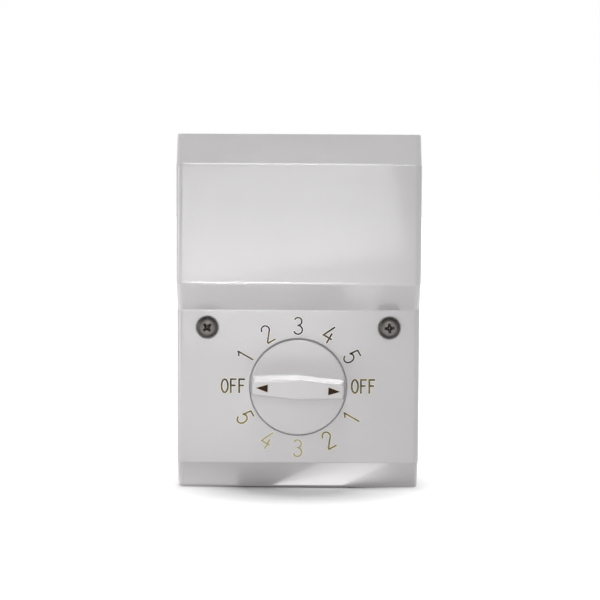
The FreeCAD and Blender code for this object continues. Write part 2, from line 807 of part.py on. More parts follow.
def make_switch_housing():
    """Moulded cup: terminal slots, a pivot bore and a pocket for the detent spring."""
    body = new_body("switch_housing", z=knob_z)
    outer = cell("housing_diameter")
    inner = outer - cell("housing_wall") * 2
    cup = front_sketch(body, "CupOutside", housing_back)
    circle(cup, 0.0, 0.0, outer)
    pad(cup, cell("housing_depth"))
    half_ear = cell("spring_length") / 2 + 1.8
    ear = front_sketch(body, "SpringEar", housing_back)
    rectangle(ear, -half_ear, half_ear, -outer / 2 - 0.6, -outer / 2 + 4)
    pad(ear, cell("housing_depth"))
    cavity = front_sketch(body, "CupInside", housing_front)
    circle(cavity, 0.0, 0.0, inner)
    pocket(cavity, cell("housing_depth") - cell("housing_floor"))

    spring_pocket = front_sketch(body, "SpringPocket", housing_front)
    half_spring = cell("spring_length") / 2 + 0.15
    rectangle(spring_pocket, -half_spring, half_spring, -spring_line() - 0.65, -spring_line() + 1)
    pocket(spring_pocket, housing_front - star_back() + 0.1)

    pivot = front_sketch(body, "PivotBore", contact_floor)
    circle(pivot, 0.0, 0.0, cell("pivot_diameter") + cell("running_gap") * 2)
    pocket(pivot, cell("pivot_length") + 0.1)

    slot_half = cell("terminal_width") / 2 + 0.1
    first = front_sketch(body, "SpeedSlot", housing_front, turn=cell("speed_step"))
    rectangle(first, inner / 2 - 1, outer / 2 + 1, -slot_half, slot_half)
    speed_slot = pocket(first, housing_front - contact_floor)
    around(speed_slot, first, 5, cell("speed_step") * 4)
    common = front_sketch(body, "CommonSlot", housing_front, turn=-cell("speed_step") * 5)
    rectangle(common, inner / 2 - 1, outer / 2 + 1, -slot_half, slot_half)
    pocket(common, housing_front - contact_floor)
    return body


def star_back():
    """Depth at which the rotor's detent star starts."""
    return rotor_back + cell("rotor_disc_height")


def spring_line():
    """Distance from the axis to the inner face of the detent spring's strip."""
    return cell("rotor_diameter") / 2 + cell("notch_radius") * 0.58


def make_switch_rotor():
    """Moulded rotor: hub, carrier disc and a star with one notch for each position."""
    body = new_body("switch_rotor", z=knob_z)
    bore = cell("shaft_diameter") / 2 + cell("fit_gap")
    hub = cell("rotor_hub_diameter") / 2
    disc = cell("rotor_disc_diameter") / 2
    star = cell("rotor_diameter") / 2
    star_front = star_back() + cell("rotor_height") - cell("rotor_disc_height") - 0.8
    turned(body, "RotorBlank", [(bore, rotor_back), (disc, rotor_back), (disc, star_back()), (star, star_back()),
                                (star, star_front), (hub, star_front), (hub, rotor_front), (bore, rotor_front)])
    notch = front_sketch(body, "Notch", star_front + 0.1, turn=cell("speed_step") * -3)
    circle(notch, spring_line(), 0.0, cell("notch_radius") * 2)
    cut = pocket(notch, star_front + 0.1 - star_back())
    around(cut, notch, 12, 360.0)
    return body


def make_rotor_contact():
    """Brass bridge under the rotor: its two ends sweep over the speed terminals."""
    body = new_body("rotor_contact", z=knob_z)
    reach = cell("rotor_disc_diameter") / 2 - 1.6
    bridge = front_sketch(body, "ContactBridge", wiper_back)
    rectangle(bridge, -reach, reach, -1.6, 1.6)
    pad(bridge, cell("contact_thickness"))
    hub = front_sketch(body, "ContactHub", wiper_back)
    circle(hub, 0.0, 0.0, cell("rotor_hub_diameter") + 3)
    pad(hub, cell("contact_thickness"))
    ends = front_sketch(body, "ContactEnds", wiper_back)
    for side in (-1, 1):
        circle(ends, reach * side, 0.0, 4.2)
    pad(ends, cell("contact_thickness"))
    bore = front_sketch(body, "ContactBore", rotor_back)
    circle(bore, 0.0, 0.0, cell("shaft_diameter") + cell("fit_gap") * 2)
    pocket(bore, cell("contact_thickness"))
    return body


def make_detent_spring():
    """Flat steel strip with a rounded nose that drops into the rotor's notches."""
    body = new_body("detent_spring", z=knob_z)
    half = cell("spring_length") / 2
    nose = cell("nose_radius")
    thick = cell("spring_thickness")
    line = -spring_line()
    strip = front_sketch(body, "SpringStrip", star_back())
    outline(strip,
            [(-half, line - thick), (-nose + thick, line - thick), (nose - thick, line - thick),
             (half, line - thick), (half, line), (nose, line), (-nose, line), (-half, line)],
            [(1, (0.0, line + nose - thick)), (5, (0.0, line + nose))])
    pad(strip, cell("rotor_height") - cell("rotor_disc_height") - 0.8)
    return body


def make_speed_terminal(number):
    """Brass strip from under the rotor out through the housing to a solder tag."""
    body = new_body("speed_terminal_%d" % number, z=knob_z)
    angle = cell("speed_step") * (6 - number)
    half = cell("terminal_width") / 2
    strip = front_sketch(body, "TerminalStrip%d" % number, contact_floor, turn=angle)
    reach = cell("terminal_reach")
    outline(strip,
            [(cell("terminal_inner"), -half), (reach - half, -half), (reach - half, half),
             (cell("terminal_inner"), half)],
            [(1, (reach, 0.0))])
    circle(strip, reach - half, 0.0, 1.3)
    pad(strip, cell("terminal_thickness"))
    return body


def make_common_terminal():
    """Brass ring round the pivot with its solder tag on the far side of the speeds."""
    body = new_body("common_terminal", z=knob_z)
    half = cell("terminal_width") / 2
    reach = cell("terminal_reach")
    ring = front_sketch(body, "CommonRing", contact_floor)
    circle(ring, 0.0, 0.0, cell("rotor_hub_diameter") + 3)
    pad(ring, cell("terminal_thickness"))
    strip = front_sketch(body, "CommonStrip", contact_floor, turn=-cell("speed_step") * 5)
    outline(strip,
            [(5.0, -half), (reach - half, -half), (reach - half, half), (5.0, half)],
            [(1, (reach, 0.0))])
    pad(strip, cell("terminal_thickness"))
    tag_hole = front_sketch(body, "CommonTagHole", contact_floor + cell("terminal_thickness"),
                            turn=-cell("speed_step") * 5)
    circle(tag_hole, reach - half, 0.0, 1.3)
    circle(tag_hole, 0.0, 0.0, cell("shaft_diameter") + 0.6)
    pocket(tag_hole, cell("terminal_thickness"))
    return body


def bridge_screw_x():
    """How far the bridge's screws lie from the shaft's axis."""
    return cell("bridge_span") + cell("bridge_foot") / 2 + 0.3


def make_switch_bridge():
    """Steel strip bent into a bridge that carries the switch above the back plate."""
    body = new_body("switch_bridge", z=knob_z)
    thick = cell("bridge_thickness")
    span = cell("bridge_span")
    foot = span + cell("bridge_foot")
    front = -cell("bridge_front")
    foot_back = -plate_front
    plan = sketch_on(body, "BridgeSection", "XY_Plane", -cell("bridge_width") / 2)
    outline(plan, [
        (-foot, foot_back), (-span + thick, foot_back), (-span + thick, front + thick),
        (span - thick, front + thick), (span - thick, foot_back), (foot, foot_back),
        (foot, foot_back - thick), (span, foot_back - thick), (span, front), (-span, front),
        (-span, foot_back - thick), (-foot, foot_back - thick)])
    strip = pad(plan, cell("bridge_width"))

    def outer_bend(edge):
        at_front = abs(centre(edge).y - front.value) < 0.01
        return at_front and abs(abs(centre(edge).x) - span.value) < 0.01

    rounded(strip, 1.0, outer_bend)
    holes = front_sketch(body, "BridgeHoles", cell("bridge_front"))
    circle(holes, 0.0, 0.0, cell("bushing_diameter") + 0.2)
    circle(holes, 0.0, -lug_radius(), 2.9)
    pocket(holes, thick)
    feet = front_sketch(body, "FootHoles", plate_front + thick)
    for side in (-1, 1):
        circle(feet, bridge_screw_x() * side, 0.0, cell("choke_bolt_diameter") + 0.4)
    pocket(feet, thick)
    return body


def make_bridge_screws():
    """Two screws through the bridge's feet."""
    body = new_body("bridge_screws")
    seat = plate_front + cell("bridge_thickness")
    for name, side in (("LeftFootScrew", -1), ("RightFootScrew", 1)):
        plate_screw(body, name, bridge_screw_x() * side, knob_z, seat, 4.0, cell("choke_bolt_diameter"))
    return body


def make_switch_washer():
    """Plain washer under the bushing's nut."""
    body = new_body("switch_washer", z=knob_z)
    ring = front_sketch(body, "WasherRing", cell("bridge_front"))
    circle(ring, 0.0, 0.0, cell("washer_diameter"))
    circle(ring, 0.0, 0.0, cell("bushing_diameter") + 0.4)
    pad(ring, cell("washer_thickness"))
    return body


def make_switch_nut():
    """Thin hexagon nut on the bushing."""
    body = new_body("switch_nut", z=knob_z)
    corner = cell("nut_flats") / math.sqrt(3.0)
    hexagon = front_sketch(body, "NutHexagon", cell("bridge_front") + cell("washer_thickness"))
    outline(hexagon, [(corner * round(math.cos(math.radians(60 * side)), 6),
                       corner * round(math.sin(math.radians(60 * side)), 6)) for side in range(6)])
    circle(hexagon, 0.0, 0.0, cell("bushing_diameter") + cell("fit_gap") * 2)
    pad(hexagon, cell("nut_thickness"))
    return body


# Choke

def new_choke_body(label):
    return new_body(label, cell("choke_offset"), cell("choke_level"))


def make_choke_e_stack():
    """Stack of E-shaped laminations with its yoke at the top."""
    body = new_choke_body("choke_e_stack")
    side = cell("core_width") / 2
    leg = cell("core_leg")
    top = cell("core_height") / 2
    yoke = top - leg
    low = -top + leg + cell("core_air_gap") / 2
    letter = front_sketch(body, "LetterE", core_back)
    outline(letter, [
        (-side, low), (-side + leg, low), (-side + leg, yoke), (-leg, yoke), (-leg, low), (leg, low),
        (leg, yoke), (side - leg, yoke), (side - leg, low), (side, low), (side, top), (-side, top)])
    pad(letter, cell("core_stack"))
    cut_core_holes(body, "EHoles", choke_bolt_z)
    return body


def make_choke_i_stack():
    """Stack of straight laminations that closes the core across an air gap."""
    body = new_choke_body("choke_i_stack")
    side = cell("core_width") / 2
    bottom = -cell("core_height") / 2
    bar = front_sketch(body, "LetterI", core_back)
    rectangle(bar, -side, side, bottom, bottom + cell("core_leg") - cell("core_air_gap") / 2)
    pad(bar, cell("core_stack"))
    cut_core_holes(body, "IHoles", -choke_bolt_z)
    return body


def cut_core_holes(body, name, level):
    holes = front_sketch(body, name, core_front)
    for side in (-1, 1):
        circle(holes, choke_bolt_x * side, level, cell("choke_bolt_diameter") + 0.4)
    pocket(holes, cell("core_stack"))


def coil_section(sketch, half_x, half_y, corner):
    """A rounded rectangle about the core's middle leg, seen along the coil's axis."""
    bend = corner * (1.0 - math.sqrt(0.5))
    low = -core_middle - half_y
    high = -core_middle + half_y
    outline(sketch,
            [(-half_x + corner, low), (half_x - corner, low), (half_x, low + corner), (half_x, high - corner),
             (half_x - corner, high), (-half_x + corner, high), (-half_x, high - corner),
             (-half_x, low + corner)],
            [(1, (half_x - bend, low + bend)), (3, (half_x - bend, high - bend)),
             (5, (-half_x + bend, high - bend)), (7, (-half_x + bend, low + bend))])


def tube_half():
    """Half the outer width of the bobbin's tube across the core."""
    return cell("core_leg") + 0.2 + cell("bobbin_wall")


def tube_half_deep():
    """Half the outer depth of the bobbin's tube."""
    return cell("core_stack") / 2 + 0.2 + cell("bobbin_wall")


def window_side():
    """Half the core's width inside its outer legs, less a little play for the bobbin."""
    return cell("core_width") / 2 - cell("core_leg") - 0.3


def window_half():
    """Half the height of the core's windows, less a little play for the bobbin."""
    return cell("core_height") / 2 - cell("core_leg") - 0.2


def make_choke_bobbin():
    """Moulded bobbin on the middle leg: a square tube with a flange at each end."""
    body = new_choke_body("choke_bobbin")
    reach = cell("bobbin_reach")
    half = window_half()
    tube = sketch_on(body, "BobbinTube", "XY_Plane", -half)
    coil_section(tube, tube_half(), tube_half_deep(), as_size(0.8))
    pad(tube, half * 2)
    for name, level in (("Lower", -half), ("Upper", half - cell("bobbin_flange"))):
        flange = sketch_on(body, name + "Flange", "XY_Plane", level)
        coil_section(flange, window_side(), cell("core_stack") / 2 + reach, as_size(1.0))
        pad(flange, cell("bobbin_flange"))
    leg_hole = sketch_on(body, "LegHole", "XY_Plane", half)
    side = cell("core_leg") + 0.2
    deep = cell("core_stack") / 2 + 0.2
    rectangle(leg_hole, -side, side, -core_middle - deep, -core_middle + deep)
    pocket(leg_hole, half * 2)
    lead_exits = sketch_on(body, "LeadExits", "XY_Plane", -half + cell("bobbin_flange"))
    for start in tap_starts():
        circle(lead_exits, start, -tap_depth(), cell("lead_diameter") + 0.2)
    pocket(lead_exits, cell("bobbin_flange"))
    feed_exit = sketch_on(body, "FeedExit", "XY_Plane", half)
    circle(feed_exit, tap_starts()[0], -tap_depth(), cell("lead_diameter") + 0.2)
    pocket(feed_exit, cell("bobbin_flange"))
    return body


def tap_depth():
    """Depth at which the tap leads leave the bobbin's lower flange."""
    return core_front + 2.6


def tap_starts():
    """Where the tap leads leave the flange, from left to right of the coil's axis."""
    spacing = (window_side() - 4.9) / 2
    return [spacing * step for step in (-2, -1, 0, 1, 2)]


def make_choke_winding():
    """Enamelled copper winding, wound full between the flanges."""
    body = new_choke_body("choke_winding")
    half = window_half() - cell("bobbin_flange")
    winding = sketch_on(body, "WindingSection", "XY_Plane", -half)
    margin = cell("winding_margin")
    coil_section(winding, window_side() - margin, cell("core_stack") / 2 + cell("bobbin_reach") - margin,
                 as_size(3.0))
    coil_section(winding, tube_half(), tube_half_deep(), as_size(0.8))
    pad(winding, half * 2)
    return body


def make_choke_tape():
    """Band of insulating tape round the winding."""
    body = new_choke_body("choke_tape")
    half = window_half() - cell("bobbin_flange") - 0.6
    margin = cell("winding_margin")
    side = window_side() - margin
    deep = cell("core_stack") / 2 + cell("bobbin_reach") - margin
    thick = cell("tape_thickness")
    band = sketch_on(body, "TapeSection", "XY_Plane", -half)
    coil_section(band, side + thick, deep + thick, thick + 3)
    coil_section(band, side, deep, as_size(3.0))
    pad(band, half * 2)
    return body


def make_choke_bolts():
    """Four long screws through the core and its spacers into the plate."""
    body = new_body("choke_bolts")
    for side_name, side in (("Left", -1), ("Right", 1)):
        for end_name, end in (("Low", -1), ("Top", 1)):
            plate_screw(body, side_name + end_name + "Bolt", cell("choke_offset") + choke_bolt_x * side,
                        cell("choke_level") + choke_bolt_z * end, core_front,
                        core_front - plate_back + 0.6, cell("choke_bolt_diameter"))
    return body


def make_choke_spacers():
    """Four tubes that hold the core off the plate."""
    body = new_choke_body("choke_spacers")
    tubes = front_sketch(body, "SpacerTubes", plate_front)
    for side in (-1, 1):
        for end in (-1, 1):
            circle(tubes, choke_bolt_x * side, choke_bolt_z * end, cell("spacer_diameter"))
            circle(tubes, choke_bolt_x * side, choke_bolt_z * end, cell("choke_bolt_diameter") + 0.4)
    pad(tubes, cell("core_standoff"))
    return body


# Terminal block and earth screw

def new_block_body(label):
    return new_body(label, block_x, cell("block_level"))


def way_levels():
    """Heights of the three ways from the middle of the block."""
    return [cell("way_pitch") * step for step in (-1, 0, 1)]


def make_terminal_block():
    """Moulded three-way block with through channels, screw wells and two fixing holes."""
    body = new_block_body("terminal_block")
    half_length = cell("block_length") / 2
    half_width_x = cell("block_width") / 2
    front = plate_front + cell("block_height")
    base = front_sketch(body, "BlockBase", plate_front)
    rectangle(base, -half_width_x, half_width_x, -half_length, half_length)
    pad(base, cell("block_height") * 0.55)
    towers = front_sketch(body, "BlockTowers", plate_front)
    for level in way_levels():
        rectangle(towers, -half_width_x + 0.8, half_width_x - 0.8, level - 3.1, level + 3.1)
    pad(towers, cell("block_height"))
    room = cell("insert_section") / 2 + 0.1
    channels = sketch_on(body, "BlockChannels", "YZ_Plane", half_width_x + 1)
    for level in way_levels():
        rectangle(channels, -insert_middle - room, -insert_middle + room, level - room, level + room)
    pocket(channels, cell("block_width") + 2)
    wells = front_sketch(body, "ScrewWells", front)
    for level in way_levels():
        for side in (-1, 1):
            circle(wells, cell("clamp_screw_pitch") / 2 * side, level, cell("clamp_screw_diameter") + 1.8)
    pocket(wells, front - insert_middle)
    fixing = front_sketch(body, "BlockFixing", front)
    for end in (-1, 1):
        circle(fixing, 0.0, cell("way_pitch") / 2 * end, cell("choke_bolt_diameter") - 0.3)
    pocket(fixing, cell("block_height"))
    return body


def make_terminal_insert(number):
    """Brass clamp tube of one way, bored for the wires and for its two screws."""
    body = new_block_body("terminal_insert_%d" % number)
    level = way_levels()[number - 1]
    half = cell("insert_section") / 2
    section = sketch_on(body, "InsertSection%d" % number, "YZ_Plane", -cell("insert_length") / 2)
    rectangle(section, -insert_middle - half, -insert_middle + half, level - half, level + half)
    circle(section, -insert_middle, level, cell("insert_bore"))
    pad(section, cell("insert_length"))
    holes = front_sketch(body, "InsertHoles%d" % number, insert_middle + half)
    for side in (-1, 1):
        circle(holes, cell("clamp_screw_pitch") / 2 * side, level, cell("clamp_screw_diameter") + 0.04)
    pocket(holes, half)
    return body


def make_terminal_screws():
    """Six clamp screws, two to each way."""
    body = new_block_body("terminal_screws")
    shank = cell("clamp_screw_diameter") / 2
    head = shank + 0.7
    seat = insert_middle + cell("insert_section") / 2 + 1.2
    for number, level in enumerate(way_levels(), start=1):
        for side in (-1, 1):
            x = cell("clamp_screw_pitch") / 2 * side
            name = "Clamp%d%s" % (number, "Left" if side < 0 else "Right")
            tip = insert_middle + cell("lead_diameter") / 2 + 0.1
            turned(body, name, [(0.0, tip), (shank, tip), (shank, seat), (head, seat), (head, seat + 1.5),
                                (0.0, seat + 1.5)], x, level)
            slot = front_sketch(body, name + "Slot", seat + 1.5, (x, level))
            rectangle(slot, -head - 0.5, head + 0.5, -0.25, 0.25)
            pocket(slot, 0.7)
    return body


def make_earth_washer():
    """Cup washer under the earth screw."""
    body = new_body("earth_washer", cell("earth_offset"), cell("earth_level"))
    ring = front_sketch(body, "EarthRing", plate_front)
    circle(ring, 0.0, 0.0, 8.5)
    circle(ring, 0.0, 0.0, cell("earth_screw_diameter") + 0.3)
    pad(ring, 0.8)
    return body


def make_earth_screw():
    """Brass screw that bonds the plate to earth."""
    body = new_body("earth_screw")
    plate_screw(body, "EarthScrew", cell("earth_offset"), cell("earth_level"), plate_front + 0.8, 4.0,
                cell("earth_screw_diameter"))
    return body


# Leads

def lead(label, points):
    """An insulated lead along (x, depth, z) points: straight runs joined by tangent arcs."""
    corners = [FreeCAD.Vector(as_size(x).value, -as_size(depth).value, as_size(z).value) for x, depth, z in points]
    edges = []
    start = corners[0]
    for before, corner, after in zip(corners, corners[1:], corners[2:]):
        back = before - corner
        onward = after - corner
        reach = 0.45 * min(back.Length, onward.Length)
        back.normalize()
        onward.normalize()
        half_angle = back.getAngle(onward) / 2
        into = corner + back * reach
        out = corner + onward * reach
        radius = reach * math.tan(half_angle)
        inward = back + onward
        inward.normalize()
        middle = corner + inward * (radius / math.sin(half_angle) - radius)
        edges.append(Part.LineSegment(start, into).toShape())
        edges.append(Part.Arc(into, middle, out).toShape())
        start = out
    edges.append(Part.LineSegment(start, corners[-1]).toShape())
    path = Part.Wire(edges)
    first = corners[1] - corners[0]
    section = Part.Wire(Part.makeCircle(cell("lead_diameter").value / 2, corners[0], first))
    feature = document.addObject("Part::Feature", label)
    feature.Label = label
    feature.Shape = path.makePipeShell([section], True, False)
    feature.Placement = FreeCAD.Placement()
    return feature


def tag_point(angle):
    """Where a lead meets a switch terminal's tag, in the plane of the wall."""
    radius = cell("terminal_reach") - cell("terminal_width") / 2
    return (radius * round(math.cos(math.radians(angle)), 9),
            knob_z + radius * round(math.sin(math.radians(angle)), 9))


def make_tap_lead(number):
    """From one tap of the winding, over the lower yoke and back down to a speed terminal."""
    step = cell("speed_step").value
    end_x, end_z = tag_point(step * (6 - number))
    start_x = cell("choke_offset") + tap_starts()[number - 1]
    flange = cell("choke_level") - window_half()
    core_low = cell("choke_level") - cell("core_height") / 2
    on_tag = contact_floor + cell("terminal_thickness") + cell("lead_diameter") / 2 + 0.02
    drift = end_x - start_x
    points = [
        (start_x, tap_depth(), flange + cell("bobbin_flange")),
        (start_x, tap_depth(), core_low - 0.6),
        (start_x + drift * 0.35, tap_depth() - 7.6, core_low - 7.2 + abs(number - 3) * 0.4),
        (start_x + drift * 0.82, on_tag + 2.8, end_z + 5.8 + abs(number - 3) * 1.2),
        (end_x, on_tag, end_z),
    ]
    return lead("tap_lead_%d" % number, points)


def make_common_lead():
    """From the switch's common terminal, behind the switch, up to the first way of the block."""
    end_x, end_z = tag_point(cell("speed_step").value * -5)
    low = plate_front + 2.3
    way = cell("block_level") - cell("way_pitch")
    points = [
        (end_x, contact_floor - cell("lead_diameter") / 2 - 0.02, end_z + 0.4),
        (end_x - 1.4, low + 0.9, end_z + 7.0),
        (end_x - 2.0, low, end_z + 16.0),
        (end_x - 1.0, low, end_z + 26.0),
        (end_x + 4.2, low + 0.3, end_z + 35.5),
        (block_x + 12.1, low + 1.2, way - 8.6),
        (block_x + 10.9, insert_middle - 0.3, way - 2.4),
        (block_x + 7.0, insert_middle, way),
        (block_x + 1.2, insert_middle, way),
    ]
    return lead("common_lead", points)


def make_feed_lead():
    """From the start of the winding, over the top of the core, to the second way of the block."""
    start_x = cell("choke_offset") + tap_starts()[0]
    core_left = cell("choke_offset") - cell("core_width") / 2
    flange = cell("choke_level") + window_half()
    way = cell("block_level")
    points = [
        (start_x, tap_depth(), flange - cell("bobbin_flange")),
        (start_x, tap_depth(), flange + 3.6),
        (core_left + 6.5, tap_depth() + 1.8, flange + 6.6),
        (core_left - 0.5, tap_depth() + 0.8, flange + 5.6),
        (block_x + 10.7, tap_depth() - 6.0, flange + 2.1),
        (block_x + 10.0, insert_middle + 5.5, way + 9.0),
        (block_x + 10.4, insert_middle + 0.7, way + 2.5),
        (block_x + 6.5, insert_middle, way),
        (block_x + 1.2, insert_middle, way),
    ]
    return lead("feed_lead", points)


def report_failures():
    """Stop on any object that did not compute, and on any sub-part without a valid shape."""
    for item in document.Objects:
        if "Invalid" in item.State or "Error" in item.State:
            raise RuntimeError("%s failed: %s" % (item.Name, item.State))
    for label, item in sub_parts.items():
        if item.Shape.isNull() or not item.Shape.isValid():
            raise RuntimeError("%s has no valid shape" % label)


makers = [
    make_front_cover, make_mounting_screws, make_cover_screws, make_back_plate, make_knob, make_knob_spring,
    make_switch_shaft, make_shaft_clip, make_switch_bushing, make_switch_front_plate, make_switch_housing,
    make_switch_rotor, make_rotor_contact, make_detent_spring, make_common_terminal, make_switch_bridge,
    make_bridge_screws, make_switch_washer, make_switch_nut, make_choke_e_stack, make_choke_i_stack,
    make_choke_bobbin, make_choke_winding, make_choke_tape, make_choke_bolts, make_choke_spacers,
    make_terminal_block, make_terminal_screws, make_earth_washer, make_earth_screw,
]
made = [maker() for maker in makers]
made += [make_speed_terminal(number) for number in range(1, 6)]
made += [make_terminal_insert(number) for number in range(1, 4)]
made += [make_tap_lead(number) for number in range(1, 6)]
made += [make_common_lead(), make_feed_lead()]
sub_parts = {item.Label: item for item in made}

document.recompute()
report_failures()
os.makedirs("parts", exist_ok=True)
for label, item in sub_parts.items():
    item.Shape.exportStep("parts/%s.step" % label)
    print("%-20s solids %d  volume %10.2f" % (label, len(item.Shape.Solids), item.Shape.Volume))
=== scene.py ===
import json
import math
import bpy
import bmesh
from mathutils import Matrix, Vector


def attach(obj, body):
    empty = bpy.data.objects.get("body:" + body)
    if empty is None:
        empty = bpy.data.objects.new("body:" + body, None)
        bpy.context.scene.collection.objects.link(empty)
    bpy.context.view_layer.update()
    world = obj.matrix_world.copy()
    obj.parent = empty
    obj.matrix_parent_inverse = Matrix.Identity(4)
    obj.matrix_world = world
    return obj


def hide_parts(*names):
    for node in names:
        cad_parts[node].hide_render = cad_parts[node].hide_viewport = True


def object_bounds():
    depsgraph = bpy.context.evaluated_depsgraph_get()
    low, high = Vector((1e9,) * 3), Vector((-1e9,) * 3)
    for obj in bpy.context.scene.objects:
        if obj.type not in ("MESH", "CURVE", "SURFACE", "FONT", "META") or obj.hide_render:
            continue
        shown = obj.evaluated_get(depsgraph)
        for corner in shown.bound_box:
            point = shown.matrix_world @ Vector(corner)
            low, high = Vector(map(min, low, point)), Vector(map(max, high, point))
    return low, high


# Looks of a wall-box fan speed control: gloss plastic, printed dial, blackened screws.
# Sizes below are millimetres in the frame of the CAD model, whose depth runs along -Y.

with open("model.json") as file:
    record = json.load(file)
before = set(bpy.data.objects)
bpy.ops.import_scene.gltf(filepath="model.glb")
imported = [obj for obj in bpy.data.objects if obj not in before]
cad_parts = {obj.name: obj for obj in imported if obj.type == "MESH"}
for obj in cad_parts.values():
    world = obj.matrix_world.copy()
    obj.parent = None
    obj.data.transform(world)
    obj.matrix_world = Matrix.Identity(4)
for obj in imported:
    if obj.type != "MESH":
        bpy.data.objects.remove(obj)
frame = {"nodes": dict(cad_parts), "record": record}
cad_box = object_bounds()

MM = 0.001
PANEL_DEPTH = 27.5
KNOB_CENTRE = Vector((0.0, 0.0, -19.8))
KNOB_TURN = math.radians(-2.4)
CREST_DEPTH = 36.5
SCREW_X = 30.15
SCREW_SEAT = 27.1


def place(x, depth, z):
    """A point in metres from millimetres across, out of the wall and up."""
    return Vector((x * MM, -depth * MM, z * MM))


# Materials

def blank_material(name):
    """A node material with nothing but a Principled shader on its output."""
    material = bpy.data.materials.new(name)
    material.use_nodes = True
    nodes = material.node_tree.nodes
    nodes.clear()
    output = nodes.new("ShaderNodeOutputMaterial")
    shader = nodes.new("ShaderNodeBsdfPrincipled")
    material.node_tree.links.new(shader.outputs["BSDF"], output.inputs["Surface"])
    return material, material.node_tree, shader


def add_node(tree, kind, links=(), **values):
    """A node with its values set and its inputs linked: links are (input name, output socket)."""
    node = tree.nodes.new(kind)
    for name, value in values.items():
        if hasattr(node, name):
            setattr(node, name, value)
        else:
            node.inputs[name.replace("_", " ")].default_value = value
    for name, socket in links:
        tree.links.new(socket, node.inputs[name])
    return node


def place_vector(tree, scale=(1.0, 1.0, 1.0)):
    """Object coordinates, stretched."""
    where = tree.nodes.new("ShaderNodeTexCoord")
    mapping = add_node(tree, "ShaderNodeMapping", [("Vector", where.outputs["Object"])])
    mapping.inputs["Scale"].default_value = scale
    return mapping.outputs["Vector"]


def noise(tree, vector, scale, detail=3.0, roughness=0.5):
    node = add_node(tree, "ShaderNodeTexNoise", [("Vector", vector)])
    node.inputs["Scale"].default_value = scale
    node.inputs["Detail"].default_value = detail
    node.inputs["Roughness"].default_value = roughness
    return node.outputs["Fac"]


def spread_to(tree, factor, low, high, from_low=0.3, from_high=0.7):
    """A factor stretched to run between two values."""
    node = add_node(tree, "ShaderNodeMapRange", [("Value", factor)])
    node.inputs["From Min"].default_value = from_low
    node.inputs["From Max"].default_value = from_high
    node.inputs["To Min"].default_value = low
    node.inputs["To Max"].default_value = high
    return node.outputs["Result"]


def blend_colours(tree, factor, low, high):
    """A colour that goes from low to high as the factor goes from 0.3 to 0.7."""
    ramp = add_node(tree, "ShaderNodeValToRGB", [("Fac", factor)])
    ramp.color_ramp.elements[0].position = 0.3
    ramp.color_ramp.elements[0].color = (*low, 1.0)
    ramp.color_ramp.elements[1].position = 0.7
    ramp.color_ramp.elements[1].color = (*high, 1.0)
    return ramp.outputs["Color"]


def bump(tree, height, strength, distance, below=None):
    node = add_node(tree, "ShaderNodeBump", [("Height", height)])
    node.inputs["Strength"].default_value = strength
    node.inputs["Distance"].default_value = distance
    if below is not None:
        tree.links.new(below, node.inputs["Normal"])
    return node.outputs["Normal"]


def gloss_plastic(name, low, high, rough=(0.12, 0.19)):
    """Moulded gloss plastic: faint clouding, uneven polish, softened edges, a barely wavy surface."""
    material, tree, shader = blank_material(name)
    where = place_vector(tree)
    tree.links.new(blend_colours(tree, noise(tree, where, 18.0), low, high), shader.inputs["Base Color"])
    polish = noise(tree, where, 160.0, 4.0)
    tree.links.new(spread_to(tree, polish, *rough), shader.inputs["Roughness"])
    soft_edges = add_node(tree, "ShaderNodeBevel", samples=6)
    soft_edges.inputs["Radius"].default_value = 0.55 * MM
    waves = bump(tree, noise(tree, where, 70.0, 2.0), 0.05, 0.0004, soft_edges.outputs["Normal"])
    grain = bump(tree, noise(tree, where, 2600.0, 2.0), 0.06, 0.00003, waves)
    tree.links.new(grain, shader.inputs["Normal"])
    tree.links.new(waves, shader.inputs["Coat Normal"])
    shader.inputs["IOR"].default_value = 1.62
    shader.inputs["Coat Weight"].default_value = 1.0
    shader.inputs["Coat Roughness"].default_value = 0.05
    return material


def satin_plastic(name, low, high, rough=(0.38, 0.55)):
    """Moulded plastic with a fine matt grain."""
    material, tree, shader = blank_material(name)
    where = place_vector(tree)
    tree.links.new(blend_colours(tree, noise(tree, where, 60.0), low, high), shader.inputs["Base Color"])
    tree.links.new(spread_to(tree, noise(tree, where, 400.0, 4.0), *rough), shader.inputs["Roughness"])
    tree.links.new(bump(tree, noise(tree, where, 3000.0, 2.0), 0.15, 0.00004), shader.inputs["Normal"])
    return material


def metal(name, low, high, rough=(0.25, 0.42), grain=(1.0, 1.0, 1.0), grain_scale=1500.0):
    """Metal with cloudy tone and fine grain along the stretched direction."""
    material, tree, shader = blank_material(name)
    clouds = noise(tree, place_vector(tree), 140.0, 4.0)
    tree.links.new(blend_colours(tree, clouds, low, high), shader.inputs["Base Color"])
    lines = noise(tree, place_vector(tree, grain), grain_scale, 3.0)
    tree.links.new(spread_to(tree, lines, *rough), shader.inputs["Roughness"])
    tree.links.new(bump(tree, lines, 0.12, 0.00003), shader.inputs["Normal"])
    shader.inputs["Metallic"].default_value = 1.0
    return material


